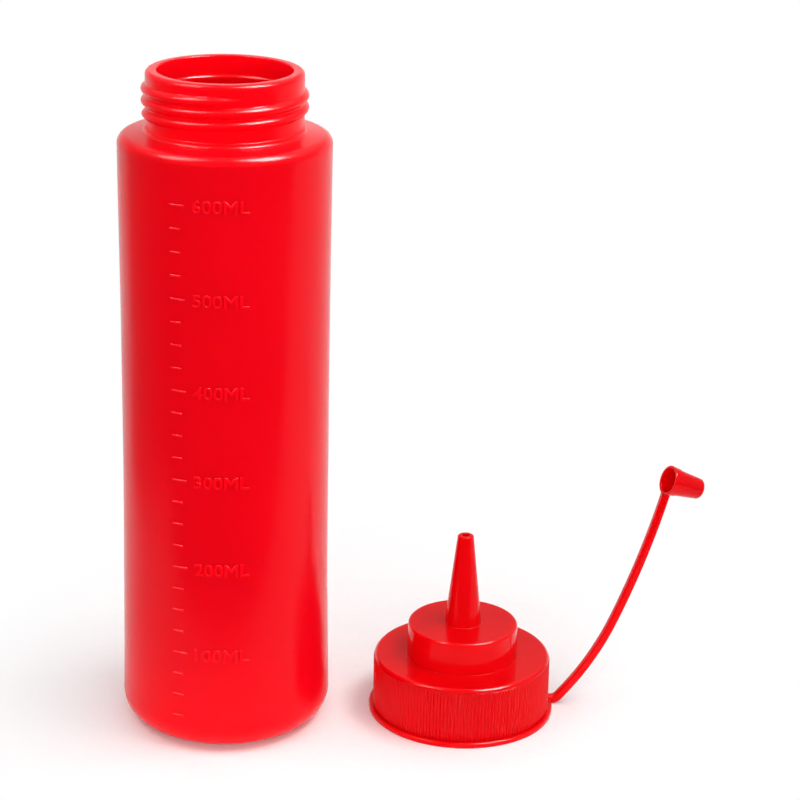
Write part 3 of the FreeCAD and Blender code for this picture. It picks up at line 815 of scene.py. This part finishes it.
def new_material(name):
    """An empty node material and its tree."""
    material = bpy.data.materials.new(name)
    material.use_nodes = True
    material.node_tree.nodes.clear()
    return material, material.node_tree


def node(tree, kind, **values):
    """Add a node; values set its attributes, or its inputs where their name starts with in_."""
    made = tree.nodes.new(kind)
    for key, value in values.items():
        if key.startswith("in_"):
            made.inputs[int(key[3:]) if key[3:].isdigit() else key[3:]].default_value = value
        else:
            setattr(made, key, value)
    return made


def noise_at(tree, place, scale, detail, stretch_z=1.0):
    """Noise in the object's own metres, drawn out along Z where stretch_z is under 1."""
    mapping = node(tree, "ShaderNodeMapping")
    mapping.inputs["Scale"].default_value = (1.0, 1.0, stretch_z)
    tree.links.new(place.outputs["Object"], mapping.inputs["Vector"])
    noise = node(tree, "ShaderNodeTexNoise", in_Scale=scale, in_Detail=detail)
    tree.links.new(mapping.outputs["Vector"], noise.inputs["Vector"])
    return noise


def spread(tree, source, low, high, from_low=0.35, from_high=0.65):
    """Map a noise value onto a range of plain numbers."""
    ranged = node(tree, "ShaderNodeMapRange")
    for name, value in (("From Min", from_low), ("From Max", from_high), ("To Min", low), ("To Max", high)):
        ranged.inputs[name].default_value = value
    tree.links.new(source, ranged.inputs["Value"])
    return ranged.outputs["Result"]


def tinted(tree, share, first, second):
    """A colour between two, by a share from 0 to 1."""
    mix = node(tree, "ShaderNodeMix", data_type="RGBA")
    mix.inputs[6].default_value = (*first, 1.0)
    mix.inputs[7].default_value = (*second, 1.0)
    tree.links.new(share, mix.inputs[0])
    return mix.outputs[2]


def bottle_plastic(name="bottle_plastic_look", scatter=0.85):
    """Satin blown plastic: cloudy colour, uneven gloss and a fine orange-peel skin."""
    if name in bpy.data.materials:
        return bpy.data.materials[name]
    look = settings().look
    material, tree = new_material(name)
    place = node(tree, "ShaderNodeTexCoord")
    shader = node(tree, "ShaderNodeBsdfPrincipled")
    shader.inputs["IOR"].default_value = 1.5
    shader.inputs["Specular IOR Level"].default_value = 0.17
    shader.inputs["Specular Tint"].default_value = (1.0, 0.55, 0.55, 1.0)
    shader.inputs["Subsurface Weight"].default_value = scatter
    shader.inputs["Subsurface Radius"].default_value = (1.0, 0.08, 0.08)
    shader.inputs["Subsurface Scale"].default_value = 4 * MM
    clouds = noise_at(tree, place, 22.0, 3.0, stretch_z=0.35)
    tone = spread(tree, clouds.outputs["Fac"], 0.0, 1.0)
    tree.links.new(tinted(tree, tone, look.bottle, look.bottle_deep), shader.inputs["Base Color"])
    patches = noise_at(tree, place, 60.0, 4.0, stretch_z=0.5)
    gloss = spread(tree, patches.outputs["Fac"], look.bottle_roughness - 0.03,
                   look.bottle_roughness + 0.04)
    tree.links.new(gloss, shader.inputs["Roughness"])
    peel = noise_at(tree, place, 900.0, 3.0)
    bump = node(tree, "ShaderNodeBump", in_Strength=0.05, in_Distance=0.1 * MM)
    tree.links.new(peel.outputs["Fac"], bump.inputs["Height"])
    tree.links.new(bump.outputs["Normal"], shader.inputs["Normal"])
    out = node(tree, "ShaderNodeOutputMaterial")
    tree.links.new(shader.outputs["BSDF"], out.inputs["Surface"])
    return material


def cap_plastic():
    """Polished moulded plastic: faint flow shades and small differences in gloss."""
    if "cap_plastic_look" in bpy.data.materials:
        return bpy.data.materials["cap_plastic_look"]
    look = settings().look
    material, tree = new_material("cap_plastic_look")
    place = node(tree, "ShaderNodeTexCoord")
    shader = node(tree, "ShaderNodeBsdfPrincipled")
    shader.inputs["IOR"].default_value = 1.5
    shader.inputs["Specular IOR Level"].default_value = 0.17
    shader.inputs["Specular Tint"].default_value = (1.0, 0.6, 0.6, 1.0)
    shader.inputs["Subsurface Weight"].default_value = 0.6
    shader.inputs["Subsurface Radius"].default_value = (1.0, 0.08, 0.08)
    shader.inputs["Subsurface Scale"].default_value = 4 * MM
    flow = noise_at(tree, place, 55.0, 3.0, stretch_z=0.6)
    tone = spread(tree, flow.outputs["Fac"], 0.0, 1.0)
    tree.links.new(tinted(tree, tone, look.cap, look.cap_deep), shader.inputs["Base Color"])
    patches = noise_at(tree, place, 140.0, 4.0)
    gloss = spread(tree, patches.outputs["Fac"], look.cap_roughness - 0.03,
                   look.cap_roughness + 0.04)
    tree.links.new(gloss, shader.inputs["Roughness"])
    peel = noise_at(tree, place, 1400.0, 2.0)
    bump = node(tree, "ShaderNodeBump", in_Strength=0.03, in_Distance=0.05 * MM)
    tree.links.new(peel.outputs["Fac"], bump.inputs["Height"])
    tree.links.new(bump.outputs["Normal"], shader.inputs["Normal"])
    out = node(tree, "ShaderNodeOutputMaterial")
    tree.links.new(shader.outputs["BSDF"], out.inputs["Surface"])
    return material


def seen_directly(tree):
    """1 for camera, glossy and transmission rays, which see the plain white background."""
    rays = node(tree, "ShaderNodeLightPath")
    total = rays.outputs["Is Camera Ray"]
    for name in ("Is Glossy Ray", "Is Transmission Ray"):
        most = node(tree, "ShaderNodeMath", operation="MAXIMUM")
        tree.links.new(total, most.inputs[0])
        tree.links.new(rays.outputs[name], most.inputs[1])
        total = most.outputs[0]
    return total


class BOTTLE_OT_stage(Operator):
    """Lay the floor and set the room, the lamps and the camera"""

    bl_idname = "squeeze_bottle.stage"
    bl_label = "Set the stage"
    bl_options = {"REGISTER", "UNDO"}

    def execute(self, context):
        stage = settings().stage
        self.lay_floor(stage)
        self.light_room(stage)
        middle = (CAD_LOW + CAD_HIGH) / 2
        right, left = (0.76, -0.115, 1.43), (-0.73, -0.23, 1.43)
        self.lamp("softbox_right", stage.key, right, (0.84, 0.5), middle)
        self.lamp("softbox_left", stage.fill, left, (0.84, 0.5), middle)
        for name, radiance, place in (("glint_right", stage.key_glint, (0.78, -0.285, 1.39)),
                                      ("glint_left", stage.fill_glint, (-0.77, -0.31, 1.39))):
            glint = self.lamp(name, radiance, place, (0.7, 0.85), middle)
            glint.visible_diffuse = False
        front = self.lamp("softbox_front", stage.front, (0.2, -1.5, 0.48), (2.2, 0.6), middle)
        front.visible_glossy = False
        self.aim_camera(stage)
        return {"FINISHED"}

    def lay_floor(self, stage):
        """A pale floor that keeps shadows near the object and is white further out."""
        corners = [(-0.22, -0.125, 0), (1.8, -0.125, 0), (1.8, 2.2, 0), (-0.22, 2.2, 0)]
        floor = link_mesh("floor", corners, [(0, 1, 2, 3)])
        material, tree = new_material("floor_paper")
        place = node(tree, "ShaderNodeTexCoord")
        shader = node(tree, "ShaderNodeBsdfPrincipled")
        shader.inputs["Roughness"].default_value = 0.9
        shader.inputs["Specular IOR Level"].default_value = 0.1
        grain = noise_at(tree, place, 320.0, 4.0)
        shade = spread(tree, grain.outputs["Fac"], 0.0, 1.0)
        pale = tuple(0.985 * part for part in stage.floor)
        tree.links.new(tinted(tree, shade, stage.floor, pale), shader.inputs["Base Color"])
        white = node(tree, "ShaderNodeEmission", in_Strength=1.0)
        away = node(tree, "ShaderNodeVectorMath", operation="DISTANCE")
        tree.links.new(place.outputs["Object"], away.inputs[0])
        away.inputs[1].default_value = (0.05, 0.02, 0)
        far = spread(tree, away.outputs["Value"], 0.0, 1.0, from_low=0.085, from_high=0.15)
        share = node(tree, "ShaderNodeMath", operation="MULTIPLY")
        tree.links.new(far, share.inputs[0])
        tree.links.new(seen_directly(tree), share.inputs[1])
        mix = node(tree, "ShaderNodeMixShader")
        tree.links.new(share.outputs[0], mix.inputs[0])
        tree.links.new(shader.outputs["BSDF"], mix.inputs[1])
        tree.links.new(white.outputs["Emission"], mix.inputs[2])
        out = node(tree, "ShaderNodeOutputMaterial")
        tree.links.new(mix.outputs["Shader"], out.inputs["Surface"])
        floor.data.materials.append(material)

    def light_room(self, stage):
        """A soft grey room with a white background low down behind the object."""
        world = bpy.data.worlds.new("room")
        world.use_nodes = True
        bpy.context.scene.world = world
        tree = world.node_tree
        tree.nodes.clear()
        place = node(tree, "ShaderNodeTexCoord")
        parts = node(tree, "ShaderNodeSeparateXYZ")
        tree.links.new(place.outputs["Generated"], parts.inputs[0])
        behind = spread(tree, parts.outputs["Y"], 0.0, 1.0, from_low=0.45, from_high=0.6)
        low = spread(tree, parts.outputs["Z"], 1.0, 0.0, from_low=0.2, from_high=0.36)
        back = node(tree, "ShaderNodeMath", operation="MULTIPLY")
        tree.links.new(behind, back.inputs[0])
        tree.links.new(low, back.inputs[1])
        seen = node(tree, "ShaderNodeMath", operation="MULTIPLY")
        tree.links.new(back.outputs[0], seen.inputs[0])
        tree.links.new(seen_directly(tree), seen.inputs[1])
        rays = node(tree, "ShaderNodeLightPath")
        share = node(tree, "ShaderNodeMath", operation="MAXIMUM")
        tree.links.new(seen.outputs[0], share.inputs[0])
        tree.links.new(rays.outputs["Is Camera Ray"], share.inputs[1])
        wall = spread(tree, parts.outputs["Z"], stage.room_front, stage.room_top,
                      from_low=0.36, from_high=0.52)
        rise = spread(tree, parts.outputs["Z"], 0.0, 1.0, from_low=-0.1, from_high=0.08)
        depth = spread(tree, parts.outputs["Y"], 0.0, 1.0, from_low=-0.4, from_high=0.4)
        front = self.blend(tree, rise, stage.room_low, wall)
        rear = spread(tree, parts.outputs["Z"], stage.room_back, stage.room_high,
                      from_low=0.42, from_high=0.6)
        level = self.blend(tree, depth, front, rear)
        lean = node(tree, "ShaderNodeMath", operation="MULTIPLY")
        sideways = spread(tree, parts.outputs["X"], stage.lean_left, stage.lean_right,
                          from_low=-0.8, from_high=0.8)
        tree.links.new(level, lean.inputs[0])
        tree.links.new(sideways, lean.inputs[1])
        grey = node(tree, "ShaderNodeCombineXYZ")
        for axis in range(3):
            tree.links.new(lean.outputs[0], grey.inputs[axis])
        mix = node(tree, "ShaderNodeMix", data_type="RGBA")
        mix.inputs[7].default_value = (1.0, 1.0, 1.0, 1.0)
        tree.links.new(grey.outputs[0], mix.inputs[6])
        tree.links.new(share.outputs[0], mix.inputs[0])
        background = node(tree, "ShaderNodeBackground", in_Strength=1.0)
        tree.links.new(mix.outputs[2], background.inputs["Color"])
        out = node(tree, "ShaderNodeOutputWorld")
        tree.links.new(background.outputs[0], out.inputs["Surface"])

    def blend(self, tree, share, first, second):
        """A number between two, each of them a number or another node's output."""
        mix = node(tree, "ShaderNodeMix", data_type="FLOAT")
        tree.links.new(share, mix.inputs[0])
        for socket, value in zip(mix.inputs[2:4], (first, second)):
            if isinstance(value, float):
                socket.default_value = value
            else:
                tree.links.new(value, socket)
        return mix.outputs[0]

    def lamp(self, name, radiance, place, size, target):
        """A rectangular softbox of a given radiance that faces a target."""
        light = bpy.data.lights.new(name, "AREA")
        light.shape = "RECTANGLE"
        light.size, light.size_y = size
        light.energy = radiance * math.pi * size[0] * size[1]
        lamp = bpy.data.objects.new(name, light)
        lamp.location = place
        aim = Vector(target) - Vector(place)
        lamp.rotation_euler = aim.to_track_quat("-Z", "Y").to_euler()
        bpy.context.scene.collection.objects.link(lamp)
        return lamp

    def aim_camera(self, stage):
        """The camera looks along +Y and down, with a slight roll."""
        camera = bpy.data.cameras.new("camera")
        camera.lens = stage.lens
        camera.sensor_width = 36.0
        camera.clip_start = 0.01
        viewer = bpy.data.objects.new("camera", camera)
        turn = Matrix.Rotation(math.pi / 2 - stage.camera_pitch, 4, "X")
        place = Matrix.Translation((stage.camera_x, stage.camera_y, stage.camera_z))
        viewer.matrix_world = place @ turn @ Matrix.Rotation(stage.camera_roll, 4, "Z")
        bpy.context.scene.collection.objects.link(viewer)
        bpy.context.scene.camera = viewer
        bpy.context.scene.view_settings.view_transform = "Standard"


class SqueezeBottle(PropertyGroup):
    """All settings of the object."""

    shell: PointerProperty(type=ShellSizes, name="Shell", description="The blown shell")
    thread: PointerProperty(type=NeckThreadSizes, name="Thread", description="The neck's thread")
    scale: PointerProperty(type=ScaleSizes, name="Scale", description="The measuring scale")
    cap: PointerProperty(type=CapSizes, name="Cap", description="The screw cap")
    tether: PointerProperty(type=TetherSizes, name="Tether", description="Tether and tip cover")
    look: PointerProperty(type=PlasticLook, name="Plastic", description="Colours and finish")
    stage: PointerProperty(type=StageSettings, name="Stage", description="Floor, lamps, camera")


OPERATORS = (BOTTLE_OT_stage, BOTTLE_OT_shell, BOTTLE_OT_marks, BOTTLE_OT_numbers, BOTTLE_OT_cap,
             BOTTLE_OT_grip, BOTTLE_OT_tether, BOTTLE_OT_cover)


class BOTTLE_PT_panel(Panel):
    """Lists the operators and the settings in the sidebar"""

    bl_idname = "BOTTLE_PT_panel"
    bl_label = "Squeeze bottle"
    bl_space_type = "VIEW_3D"
    bl_region_type = "UI"
    bl_category = "Bottle"

    def draw(self, context):
        for maker in OPERATORS:
            self.layout.operator(maker.bl_idname)
        for group in ("shell", "thread", "scale", "cap", "tether", "look", "stage"):
            box = self.layout.box()
            box.label(text=group.capitalize())
            values = getattr(context.scene.squeeze_bottle, group)
            for name in values.__annotations__:
                box.prop(values, name)


GROUPS = (ShellSizes, NeckThreadSizes, ScaleSizes, CapSizes, TetherSizes, PlasticLook,
          StageSettings, SqueezeBottle)


def register():
    for part in (*GROUPS, *OPERATORS, BOTTLE_PT_panel):
        bpy.utils.register_class(part)
    bpy.types.Scene.squeeze_bottle = PointerProperty(type=SqueezeBottle)


def unregister():
    del bpy.types.Scene.squeeze_bottle
    for part in reversed((*GROUPS, *OPERATORS, BOTTLE_PT_panel)):
        bpy.utils.unregister_class(part)


def main():
    """Register the add-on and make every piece."""
    register()
    bpy.ops.squeeze_bottle.stage()
    bpy.ops.squeeze_bottle.shell()
    bpy.ops.squeeze_bottle.marks()
    bpy.ops.squeeze_bottle.numbers()
    bpy.ops.squeeze_bottle.cap()
    bpy.ops.squeeze_bottle.grip()
    bpy.ops.squeeze_bottle.tether()
    bpy.ops.squeeze_bottle.cover()


if __name__ == "__main__":
    main()
